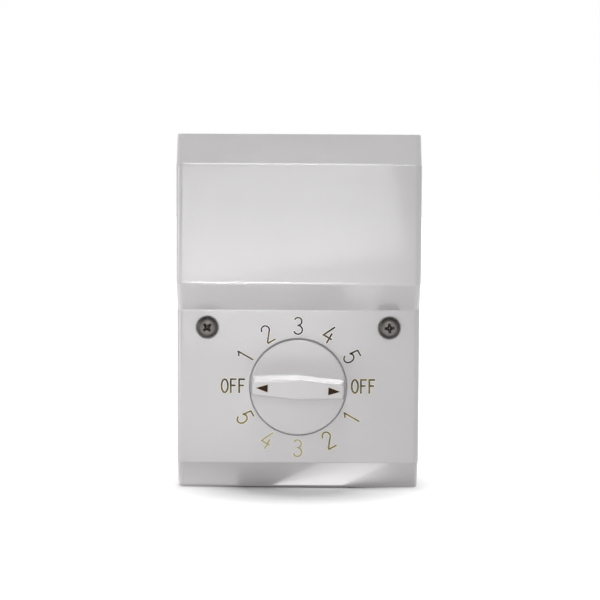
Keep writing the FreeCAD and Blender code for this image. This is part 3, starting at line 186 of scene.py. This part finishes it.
def banded(name, low, high, direction, pitch, metallic, rough=(0.35, 0.5)):
    """Stacked sheets or wound wire: fine bands a pitch apart along one direction."""
    material, tree, shader = blank_material(name)
    scale = [0.0, 0.0, 0.0]
    scale["XYZ".index(direction)] = 1.0
    wave = add_node(tree, "ShaderNodeTexWave", [("Vector", place_vector(tree, tuple(scale)))],
                    wave_type="BANDS", bands_direction=direction)
    wave.inputs["Scale"].default_value = math.pi / (10.0 * pitch * MM)
    tree.links.new(blend_colours(tree, wave.outputs["Fac"], low, high), shader.inputs["Base Color"])
    polish = noise(tree, place_vector(tree), 500.0)
    tree.links.new(spread_to(tree, polish, *rough), shader.inputs["Roughness"])
    tree.links.new(bump(tree, wave.outputs["Fac"], 0.5, pitch * MM * 0.3), shader.inputs["Normal"])
    shader.inputs["Metallic"].default_value = metallic
    return material


def blackened_steel(name):
    """Screws with a dark finish, and a painted reflection: the middle of each head is brighter in colour."""
    material = metal(name, (0.045, 0.040, 0.038), (0.10, 0.092, 0.086), (0.32, 0.46))
    tree = material.node_tree
    shader = tree.nodes["Principled BSDF"]
    dark = shader.inputs["Base Color"].links[0].from_socket
    where = tree.nodes.new("ShaderNodeTexCoord")
    folded = add_node(tree, "ShaderNodeVectorMath", [(0, where.outputs["Object"])], operation="ABSOLUTE")
    flat = add_node(tree, "ShaderNodeVectorMath", [(0, folded.outputs["Vector"])], operation="SUBTRACT")
    flat.inputs[1].default_value = (SCREW_X * MM, SCREW_SEAT * MM, 0.0)
    level = add_node(tree, "ShaderNodeVectorMath", [(0, flat.outputs["Vector"])], operation="MULTIPLY")
    level.inputs[1].default_value = (1.0, 0.0, 1.0)
    radius = add_node(tree, "ShaderNodeVectorMath", [(0, level.outputs["Vector"])], operation="LENGTH")
    # Painted reflection: the middle of each head gets a brighter colour, standing in for the light it
    # mirrors.
    wear_and_painted_reflection = spread_to(tree, radius.outputs["Value"], 1.0, 0.0, 2.1 * MM, 2.7 * MM)
    mix = add_node(tree, "ShaderNodeMix", data_type="RGBA")
    tree.links.new(wear_and_painted_reflection, mix.inputs["Factor"])
    tree.links.new(dark, mix.inputs["A"])
    mix.inputs["B"].default_value = (0.15, 0.138, 0.132, 1.0)
    tree.links.new(mix.outputs["Result"], shader.inputs["Base Color"])
    return material


def insulation(name, colour):
    """Soft vinyl insulation, slightly darker in patches."""
    return satin_plastic(name, tuple(value * 0.8 for value in colour), colour, (0.32, 0.45))


slot_materials = {
    "white_moulding": gloss_plastic("white_moulding", (0.700, 0.682, 0.688), (0.740, 0.722, 0.730)),
    "dark_screw": blackened_steel("dark_screw"),
    "zinc_steel": metal("zinc_steel", (0.56, 0.57, 0.58), (0.70, 0.71, 0.71), (0.28, 0.45)),
    "spring_steel": metal("spring_steel", (0.36, 0.36, 0.38), (0.50, 0.50, 0.52), (0.2, 0.32)),
    "brass": metal("brass", (0.66, 0.48, 0.20), (0.82, 0.64, 0.32), (0.2, 0.34)),
    "dark_moulding": satin_plastic("dark_moulding", (0.075, 0.035, 0.02), (0.12, 0.06, 0.035)),
    "cream_moulding": satin_plastic("cream_moulding", (0.74, 0.70, 0.58), (0.82, 0.78, 0.68)),
    "core_steel": banded("core_steel", (0.10, 0.10, 0.115), (0.30, 0.31, 0.34), "Y", 0.5, 0.85),
    "copper_wire": banded(
        "copper_wire", (0.30, 0.09, 0.04), (0.66, 0.30, 0.15), "Z", 0.45, 0.9, (0.25, 0.35)),
    "coil_tape": gloss_plastic("coil_tape", (0.70, 0.55, 0.10), (0.80, 0.66, 0.18), (0.25, 0.4)),
    "lead_red": insulation("lead_red", (0.55, 0.035, 0.025)),
    "lead_yellow": insulation("lead_yellow", (0.78, 0.55, 0.03)),
    "lead_blue": insulation("lead_blue", (0.03, 0.10, 0.45)),
    "lead_white": insulation("lead_white", (0.78, 0.78, 0.76)),
    "lead_black": insulation("lead_black", (0.02, 0.02, 0.02)),
}
slot_of = {part["node"]: part["material_slot"] for part in frame["record"]["subparts"]}
for node_name, node_object in frame["nodes"].items():
    node_object.data.materials.clear()
    node_object.data.materials.append(slot_materials[slot_of[node_name]])


# Meshes

def new_piece(name, mesh_data, material, body, smooth=False):
    """A mesh object made from a bmesh, riding on a body; smooth=None keeps the shading it has."""
    mesh = bpy.data.meshes.new(name)
    bmesh.ops.recalc_face_normals(mesh_data, faces=mesh_data.faces)
    mesh_data.to_mesh(mesh)
    mesh_data.free()
    mesh.materials.append(material)
    if smooth is not None:
        mesh.polygons.foreach_set("use_smooth", [smooth] * len(mesh.polygons))
    piece = bpy.data.objects.new(name, mesh)
    bpy.context.scene.collection.objects.link(piece)
    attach(piece, body)
    return piece


def mitres(spine, closed):
    """For each point of a line, the sideways step that keeps a stroke's width round its corners."""
    count = len(spine)
    steps = []
    for index, point in enumerate(spine):
        before = spine[index - 1] if closed or index > 0 else None
        after = spine[(index + 1) % count] if closed or index < count - 1 else None
        ahead = (after - point).normalized() if after is not None else (point - before).normalized()
        behind = (point - before).normalized() if before is not None else ahead
        along = (ahead + behind).normalized()
        across = Vector((-along.y, along.x))
        steps.append(across / max(along.dot(ahead), 0.5))
    return steps


def cap(point, outward, width, steps=5):
    """Points of a half circle round a stroke's end, anticlockwise."""
    base = math.atan2(outward.y, outward.x)
    angles = [base - math.pi / 2 + math.pi * step / steps for step in range(steps + 1)]
    return [point + Vector((math.cos(angle), math.sin(angle))) * width / 2 for angle in angles]


def add_ribbon(mesh_data, points, width, back, front, closed=False):
    """A flat stroke along (x, z) points, between two depths, with rounded ends."""
    spine = [Vector(point) for point in points]
    offsets = mitres(spine, closed)
    left = [point + step * width / 2 for point, step in zip(spine, offsets)]
    right = [point - step * width / 2 for point, step in zip(spine, offsets)]
    if not closed:
        first = cap(spine[0], spine[0] - spine[1], width)
        last = cap(spine[-1], spine[-1] - spine[-2], width)
        left[0], right[0] = first[0], first[-1]
        left[-1], right[-1] = last[-1], last[0]
    rows = []
    for depth in (front, back):
        rows.append([[mesh_data.verts.new(place(x, depth, z)) for x, z in side] for side in (left, right)])
    (left_front, right_front), (left_back, right_back) = rows
    count = len(spine)
    for index in range(count if closed else count - 1):
        after = (index + 1) % count
        mesh_data.faces.new([left_front[index], right_front[index], right_front[after], left_front[after]])
        mesh_data.faces.new([left_back[after], right_back[after], right_back[index], left_back[index]])
        mesh_data.faces.new([left_back[index], left_front[index], left_front[after], left_back[after]])
        mesh_data.faces.new([right_front[index], right_back[index], right_back[after], right_front[after]])
    if closed:
        return
    for rim, ends in ((first, (left_front[0], right_front[0], left_back[0], right_back[0])),
                      (last, (right_front[-1], left_front[-1], right_back[-1], left_back[-1]))):
        start_front, end_front, start_back, end_back = ends
        near = [mesh_data.verts.new(place(p.x, front, p.y)) for p in rim[1:-1]]
        near = [start_front] + near + [end_front]
        far = [mesh_data.verts.new(place(p.x, back, p.y)) for p in rim[1:-1]]
        far = [start_back] + far + [end_back]
        mesh_data.faces.new(near)
        mesh_data.faces.new(far[::-1])
        for a in range(len(near) - 1):
            mesh_data.faces.new([near[a + 1], near[a], far[a], far[a + 1]])


def add_slab(mesh_data, corners, back, front):
    """A thin slab with the given (x, z) outline between two depths."""
    near = [mesh_data.verts.new(place(x, front, z)) for x, z in corners]
    far = [mesh_data.verts.new(place(x, back, z)) for x, z in corners]
    mesh_data.faces.new(near)
    mesh_data.faces.new(far[::-1])
    for index in range(len(near)):
        after = (index + 1) % len(near)
        mesh_data.faces.new([near[after], near[index], far[index], far[after]])


def arc(centre, radii, start, end, steps=10):
    """Points on an ellipse between two angles in degrees."""
    angles = [math.radians(start + (end - start) * step / steps) for step in range(steps + 1)]
    return [(centre[0] + radii[0] * math.cos(a), centre[1] + radii[1] * math.sin(a)) for a in angles]


# Dial: strokes of each sign in millimetres about its own middle

GLYPHS = {
    "1": [[(0.3, 2.85), (0.3, -2.85)], [(-0.9, 1.85), (-0.5, 2.05), (-0.1, 2.4), (0.3, 2.85)]],
    "2": [arc((0.0, 1.45), (1.35, 1.4), 175, -20) + [(-1.35, -2.35), (-1.35, -2.8), (1.35, -2.8)]],
    "3": [arc((-0.1, 1.45), (1.25, 1.3), 150, -75) + [(-0.2, 0.15)],
          [(-0.2, 0.15)] + arc((-0.1, -1.35), (1.45, 1.45), 75, -155)],
    "4": [[(0.45, 2.85), (-1.5, -1.15), (1.5, -1.15)], [(0.75, 0.5), (0.75, -2.85)]],
    "5": [[(1.15, 2.8), (-0.85, 2.8), (-1.1, 0.25)] + arc((0.0, -1.0), (1.4, 1.75), 140, -150)],
}
OFF_STROKES = [
    arc((-2.75, 0.0), (1.05, 2.2), 0, 360, 24)[:-1],
    [(-0.75, -2.2), (-0.75, 2.2), (0.95, 2.2)],
    [(-0.75, 0.15), (0.6, 0.15)],
    [(2.05, -2.2), (2.05, 2.2), (3.75, 2.2)],
    [(2.05, 0.15), (3.4, 0.15)],
]
BOLDER = {"4": 0.06, "OFF": 0.10}
DIAL_RADIUS = 20.4
PRINT_BACK = PANEL_DEPTH - 0.01


def dial_signs():
    """Strokes of all the signs on the dial, whether each closes on itself, and how much bolder it is."""
    strokes = []
    for half in (0, 1):
        for step, sign in enumerate("12345", start=1):
            angle = math.radians(180.0 - 30.0 * step - 180.0 * half)
            turn = math.radians(90.0 - 30.0 * step)
            middle = Vector((math.cos(angle), math.sin(angle))) * DIAL_RADIUS
            rotation = Matrix.Rotation(turn, 2)
            for stroke in GLYPHS[sign]:
                points = [rotation @ Vector(point) + middle for point in stroke]
                strokes.append((points, False, BOLDER.get(sign, 0.0)))
        side = -1 if half == 0 else 1
        for index, stroke in enumerate(OFF_STROKES):
            points = [Vector(point) + Vector((21.6 * side, 0.3)) for point in stroke]
            strokes.append((points, index == 0, BOLDER["OFF"]))
    return strokes


def make_dial(name, width, front, material):
    """All the dial's signs in one colour and stroke width."""
    mesh_data = bmesh.new()
    for index, (points, closed, bolder) in enumerate(dial_signs()):
        shifted = [(x, z + KNOB_CENTRE.z) for x, z in points]
        add_ribbon(mesh_data, shifted, width + bolder, PRINT_BACK, front + 0.002 * (index % 2), closed)
    return new_piece(name, mesh_data, material, "case")


def foil_material(name, low, high, wear_and_painted_reflection, rough, shine):
    """Hot-stamped foil, worn thin in places, more so on the dial's lower half, and rubbed at its foot."""
    material, tree, shader = blank_material(name)
    where = place_vector(tree)
    height = add_node(tree, "ShaderNodeSeparateXYZ", [("Vector", where)])
    lower = spread_to(tree, height.outputs["Z"], 0.22, -0.24, -0.045, 0.0)
    patches = noise(tree, where, 420.0, 3.0)
    wear = add_node(tree, "ShaderNodeMath", [(0, patches), (1, lower)], operation="ADD")
    from_foot = add_node(tree, "ShaderNodeVectorMath", [("Vector", where)], operation="DISTANCE")
    from_foot.inputs[1].default_value = place(-6.5, PANEL_DEPTH, -40.5)
    near_foot = spread_to(tree, from_foot.outputs["Value"], 1.0, 0.0, 0.007, 0.014)
    colour = add_node(tree, "ShaderNodeMix", [
        ("Factor", near_foot), ("A", blend_colours(tree, wear.outputs["Value"], low, high)),
    ], data_type="RGBA")
    colour.inputs["B"].default_value = (*wear_and_painted_reflection, 1.0)
    tree.links.new(colour.outputs["Result"], shader.inputs["Base Color"])
    tree.links.new(spread_to(tree, noise(tree, where, 1400.0), *rough), shader.inputs["Roughness"])
    shader.inputs["Specular IOR Level"].default_value = shine
    return material


pale_foil = foil_material(
    "pale_foil", (0.97, 0.96, 0.94), (0.95, 0.90, 0.70), (0.95, 0.92, 0.80), (0.15, 0.3), 0.9)
dark_foil = foil_material(
    "dark_foil", (0.030, 0.023, 0.020), (0.30, 0.25, 0.11), (0.55, 0.49, 0.30), (0.35, 0.5), 0.3)
make_dial("dial_edging", 0.94, PANEL_DEPTH + 0.015, pale_foil)
make_dial("dial_signs", 0.52, PANEL_DEPTH + 0.03, dark_foil)


# Pointers on the knob's crest

def make_pointers(name, grow, front, material):
    """Two arrowheads that point along the grip, away from the middle."""
    mesh_data = bmesh.new()
    rotation = Matrix.Rotation(KNOB_TURN, 2)
    for side in (-1, 1):
        tip = 13.85 + grow * 1.9
        base = 9.95 - grow
        half = 1.3 + grow * 1.25
        corners = [(tip * side, 0.0), (base * side, half * side), (base * side, -half * side)]
        turned = [rotation @ Vector(corner) for corner in corners]
        placed = [(point.x, point.y + KNOB_CENTRE.z) for point in turned]
        add_slab(mesh_data, placed, CREST_DEPTH - 0.02, front)
    return new_piece(name, mesh_data, material, "speed_knob")


ink = satin_plastic("pointer_ink", (0.022, 0.009, 0.004), (0.04, 0.017, 0.008), (0.45, 0.6))
ink.node_tree.nodes["Principled BSDF"].inputs["Specular IOR Level"].default_value = 0.15
edging = satin_plastic("pointer_edging", (0.70, 0.60, 0.44), (0.80, 0.72, 0.56), (0.3, 0.45))
make_pointers("pointer_edging", 0.13, CREST_DEPTH + 0.012, edging)
make_pointers("pointers", 0.0, CREST_DEPTH + 0.028, ink)


# Mounting screws: rolled thread behind, pan head with a cross recess in front

HEAD_PROFILE = [
    (3.38, 0.0), (3.5, 0.12), (3.5, 0.5), (3.44, 0.85), (3.28, 1.17), (3.02, 1.45), (2.70, 1.68),
    (2.35, 1.84), (1.90, 1.98), (1.30, 2.09), (0.70, 2.16),
]
SCREW_TIP = SCREW_SEAT - 40.0
THREAD_END = SCREW_TIP + 13.9
THREAD_PITCH = 0.6
THREAD_MAJOR = 1.75
THREAD_MINOR = 1.40


def thread_radius(depth, turn):
    """Radius of the thread at a depth, for a part of a turn between 0 and 1."""
    phase = (depth / THREAD_PITCH - turn) % 1.0
    flank = min(max(abs(phase - 0.5) * 2.6 - 0.2, 0.0), 1.0)
    run_in = min((depth - SCREW_TIP) / 1.2, 1.0)
    run_out = min((THREAD_END - depth) / 0.5, 1.0)
    crest = THREAD_MINOR + (THREAD_MAJOR - THREAD_MINOR) * min(run_in, run_out)
    return crest + (THREAD_MINOR - crest) * flank


def screw_rows(segments):
    """Radii round the screw for each depth, from its tip to the edge of the recess."""
    rows = []
    count = int((THREAD_END - SCREW_TIP) / THREAD_PITCH * 6)
    for step in range(count + 1):
        depth = SCREW_TIP + (THREAD_END - SCREW_TIP) * step / count
        rows.append((depth, [thread_radius(depth, side / segments) for side in range(segments)]))
    rows.append((THREAD_END + 0.3, [1.55] * segments))
    rows.append((SCREW_SEAT, [1.55] * segments))
    rows += [(SCREW_SEAT + height, [radius] * segments) for radius, height in HEAD_PROFILE]
    return rows


def turned_screw(x, segments=40):
    """A closed mesh of one screw about its own axis."""
    mesh_data = bmesh.new()
    rings = []
    for depth, radii in screw_rows(segments):
        angles = [2 * math.pi * side / segments for side in range(segments)]
        rings.append([mesh_data.verts.new(place(x + radius * math.cos(a), depth, radius * math.sin(a)))
                      for a, radius in zip(angles, radii)])
    for lower, upper in zip(rings, rings[1:]):
        for side in range(segments):
            after = (side + 1) % segments
            mesh_data.faces.new([lower[side], lower[after], upper[after], upper[side]])
    tip = mesh_data.verts.new(place(x, SCREW_TIP, 0.0))
    top = mesh_data.verts.new(place(x, SCREW_SEAT + 2.2, 0.0))
    for side in range(segments):
        after = (side + 1) % segments
        mesh_data.faces.new([rings[0][after], rings[0][side], tip])
        mesh_data.faces.new([rings[-1][side], rings[-1][after], top])
    bmesh.ops.recalc_face_normals(mesh_data, faces=mesh_data.faces)
    return mesh_data


def recess_outline(arm, half, corner):
    """A cross with rounded inner corners, as (x, z) points."""
    quarter = [(arm, -half), (arm, half)]
    quarter += [(half + corner - corner * math.sin(a), half + corner - corner * math.cos(a))
                for a in (math.radians(step * 22.5) for step in range(5))]
    points = []
    for turn in range(4):
        rotation = Matrix.Rotation(math.pi / 2 * turn, 2)
        points += [rotation @ Vector(point) for point in quarter]
    return points


def recess_cutter(x, turn):
    """The driver's shape: a tapering cross."""
    mesh_data = bmesh.new()
    rotation = Matrix.Rotation(turn, 2)
    rings = []
    for height, scale in ((2.6, 1.12), (2.1, 1.0), (0.75, 0.45), (0.45, 0.12)):
        points = [rotation @ point * scale for point in recess_outline(1.7, 0.46, 0.5)]
        rings.append([mesh_data.verts.new(place(x + p.x, SCREW_SEAT + height, p.y)) for p in points])
    for upper, lower in zip(rings, rings[1:]):
        for index in range(len(upper)):
            after = (index + 1) % len(upper)
            mesh_data.faces.new([upper[index], upper[after], lower[after], lower[index]])
    mesh_data.faces.new(rings[0])
    mesh_data.faces.new(rings[-1][::-1])
    bmesh.ops.recalc_face_normals(mesh_data, faces=mesh_data.faces)
    return mesh_data


def temporary(name, mesh_data):
    """An object that only helps to make another."""
    mesh = bpy.data.meshes.new(name)
    mesh_data.to_mesh(mesh)
    mesh_data.free()
    helper = bpy.data.objects.new(name, mesh)
    bpy.context.scene.collection.objects.link(helper)
    return helper


def cut_away(blank, cutter):
    """The blank's mesh with the cutter's volume taken out, as a bmesh; both helpers are removed."""
    boolean = blank.modifiers.new("cut", "BOOLEAN")
    boolean.operation = "DIFFERENCE"
    boolean.solver = "EXACT"
    boolean.object = cutter
    bpy.context.view_layer.update()
    evaluated = blank.evaluated_get(bpy.context.evaluated_depsgraph_get())
    mesh_data = bmesh.new()
    mesh_data.from_mesh(evaluated.to_mesh())
    evaluated.to_mesh_clear()
    for helper in (blank, cutter):
        mesh = helper.data
        bpy.data.objects.remove(helper)
        bpy.data.meshes.remove(mesh)
    return mesh_data


def sharpen(mesh_data, limit):
    """Smooth faces with edges kept sharp where they turn by more than a limit in degrees."""
    for face in mesh_data.faces:
        face.smooth = True
    for edge in mesh_data.edges:
        edge.smooth = edge.calc_face_angle(math.pi) < math.radians(limit)


def make_screws():
    """Both mounting screws in one piece that stands for their node."""
    joined = bmesh.new()
    for x, turn in ((-SCREW_X, 42.0), (SCREW_X, 4.0)):
        blank = temporary("screw_blank", turned_screw(x))
        cutter = temporary("screw_cutter", recess_cutter(x, math.radians(turn)))
        part = cut_away(blank, cutter)
        mesh = bpy.data.meshes.new("screw_part")
        part.to_mesh(mesh)
        part.free()
        joined.from_mesh(mesh)
        bpy.data.meshes.remove(mesh)
    sharpen(joined, 35.0)
    piece = new_piece("mounting_screw_pair", joined, slot_materials["dark_screw"], "case", smooth=None)
    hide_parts("mounting_screws")
    return piece


make_screws()


# Stage, light and camera

def seen_directly(tree):
    """1 for what the camera sees, also in a mirror or through glass, and 0 for light that falls on things."""
    light_path = tree.nodes.new("ShaderNodeLightPath")
    seen = light_path.outputs["Is Camera Ray"]
    for ray in ("Is Glossy Ray", "Is Transmission Ray"):
        seen = add_node(tree, "ShaderNodeMath", [(0, seen), (1, light_path.outputs[ray])],
                        operation="MAXIMUM").outputs["Value"]
    return seen


def make_floor():
    """Plain white floor at the object's foot: the camera sees it white, apart from a darker patch round the
    foot that is partly the real soft shadow and partly painted shade, where the white glow fades out.
    """
    mesh_data = bmesh.new()
    bmesh.ops.create_grid(mesh_data, x_segments=1, y_segments=1, size=3.0)
    mesh = bpy.data.meshes.new("floor")
    mesh_data.to_mesh(mesh)
    mesh_data.free()
    floor = bpy.data.objects.new("floor", mesh)
    floor.location = (0.0, 0.0, cad_box[0][2])
    bpy.context.scene.collection.objects.link(floor)
    material = bpy.data.materials.new("floor_white")
    material.use_nodes = True
    tree = material.node_tree
    tree.nodes.clear()
    output = tree.nodes.new("ShaderNodeOutputMaterial")
    matt = add_node(tree, "ShaderNodeBsdfDiffuse")
    matt.inputs["Color"].default_value = (0.8, 0.8, 0.8, 1.0)
    where = tree.nodes.new("ShaderNodeTexCoord")
    # Painted shade: the white glow fades out within a few centimetres of the foot, so the floor there shows
    # darker around the real shadow.
    distance = add_node(tree, "ShaderNodeVectorMath", [("Vector", where.outputs["Object"])],
                        operation="DISTANCE")
    distance.inputs[1].default_value = (0.0, -0.016, 0.0)
    away = spread_to(tree, distance.outputs["Value"], 0.0, 1.0, 0.018, 0.060)
    seen = add_node(tree, "ShaderNodeMath", [(0, seen_directly(tree)), (1, away)], operation="MULTIPLY")
    glow = add_node(tree, "ShaderNodeEmission", [("Strength", seen.outputs["Value"])])
    both = add_node(tree, "ShaderNodeAddShader")
    tree.links.new(matt.outputs["BSDF"], both.inputs[0])
    tree.links.new(glow.outputs["Emission"], both.inputs[1])
    tree.links.new(both.outputs["Shader"], output.inputs["Surface"])
    mesh.materials.append(material)
    return floor


def make_world(light):
    """White where it is seen or mirrored, and a plain soft light everywhere else."""
    world = bpy.data.worlds.new("studio")
    world.use_nodes = True
    tree = world.node_tree
    tree.nodes.clear()
    output = tree.nodes.new("ShaderNodeOutputWorld")
    strength = add_node(tree, "ShaderNodeMapRange", [("Value", seen_directly(tree))])
    strength.inputs["To Min"].default_value = light
    strength.inputs["To Max"].default_value = 1.0
    background = add_node(tree, "ShaderNodeBackground", [("Strength", strength.outputs["Result"])])
    background.inputs["Color"].default_value = (1.0, 1.0, 1.0, 1.0)
    tree.links.new(background.outputs["Background"], output.inputs["Surface"])
    bpy.context.scene.world = world


BOX_MIDDLE = (0.0, -0.03, 0.01)
TABLE_TOP = cad_box[0][2] + 0.001


def make_lamp(name, location, target, size, watts, turn=0.0, spread=180.0, mirrored=True):
    """A rectangular softbox that faces a point and isn't seen itself; turn and spread are in degrees."""
    light = bpy.data.lights.new(name, "AREA")
    light.shape = "RECTANGLE"
    light.size, light.size_y = size
    light.energy = watts
    light.spread = math.radians(spread)
    lamp = bpy.data.objects.new(name, light)
    lamp.visible_camera = False
    lamp.visible_glossy = mirrored
    lamp.location = location
    facing = (Vector(target) - Vector(location)).to_track_quat("-Z", "Y").to_matrix()
    lamp.rotation_euler = (facing @ Matrix.Rotation(math.radians(turn), 3, "Z")).to_euler()
    bpy.context.scene.collection.objects.link(lamp)
    return lamp


def make_camera():
    """The photograph's view: a little above the middle, almost straight on."""
    target = Vector((0.0, -0.020, 0.0))
    elevation = math.radians(4.5)
    distance = 0.750
    data = bpy.data.cameras.new("camera")
    data.sensor_width = 36.0
    data.lens = 134.5
    data.shift_x = 0.0027
    data.shift_y = 0.0430
    data.clip_end = 20.0
    camera = bpy.data.objects.new("camera", data)
    camera.location = target + Vector((0.0, -math.cos(elevation), math.sin(elevation))) * distance
    facing = (target - camera.location).to_track_quat("-Z", "Y")
    roll = Matrix.Rotation(math.radians(0.3), 4, "Z")
    camera.rotation_euler = (facing.to_matrix().to_4x4() @ roll).to_euler()
    bpy.context.scene.collection.objects.link(camera)
    bpy.context.scene.camera = camera


make_floor()
make_world(0.27)
make_lamp("key_low", (0.010, -0.764, 0.309), BOX_MIDDLE, (0.165, 0.070), 0.52)
make_lamp("key", (-0.02, -0.52, 0.58), BOX_MIDDLE, (0.14, 0.30), 0.36)
make_lamp("key_high", (-0.02, -0.27, 0.72), BOX_MIDDLE, (0.14, 0.30), 0.82)
make_lamp("side_left", (-0.40, -0.12, 0.05), BOX_MIDDLE, (0.20, 0.30), 0.32)
make_lamp("side_right", (0.40, -0.12, 0.05), BOX_MIDDLE, (0.20, 0.30), 0.08)
make_lamp("front", (-0.016, -0.80, 0.018), (-0.016, 0.0, 0.018), (0.165, 0.080), 0.090, 8.0)
make_lamp("low", (-0.026, -0.080, TABLE_TOP), (-0.026, -0.080, 0.0), (0.070, 0.028), 0.0158,
          mirrored=False)
make_lamp("under", (0.005, -0.020, TABLE_TOP), (0.005, -0.020, 0.0), (0.052, 0.010), 0.00125, 25.0)
make_lamp("under_left", (-0.031, -0.020, TABLE_TOP), (-0.031, -0.020, 0.0), (0.022, 0.010), 0.00016)
make_lamp("strip", (-0.022, -0.366, TABLE_TOP + 0.007), (-0.013, -0.036, 0.018), (0.095, 0.010), 0.0007,
          spread=9.0)
make_camera()
bpy.context.scene.view_settings.view_transform = "Standard"
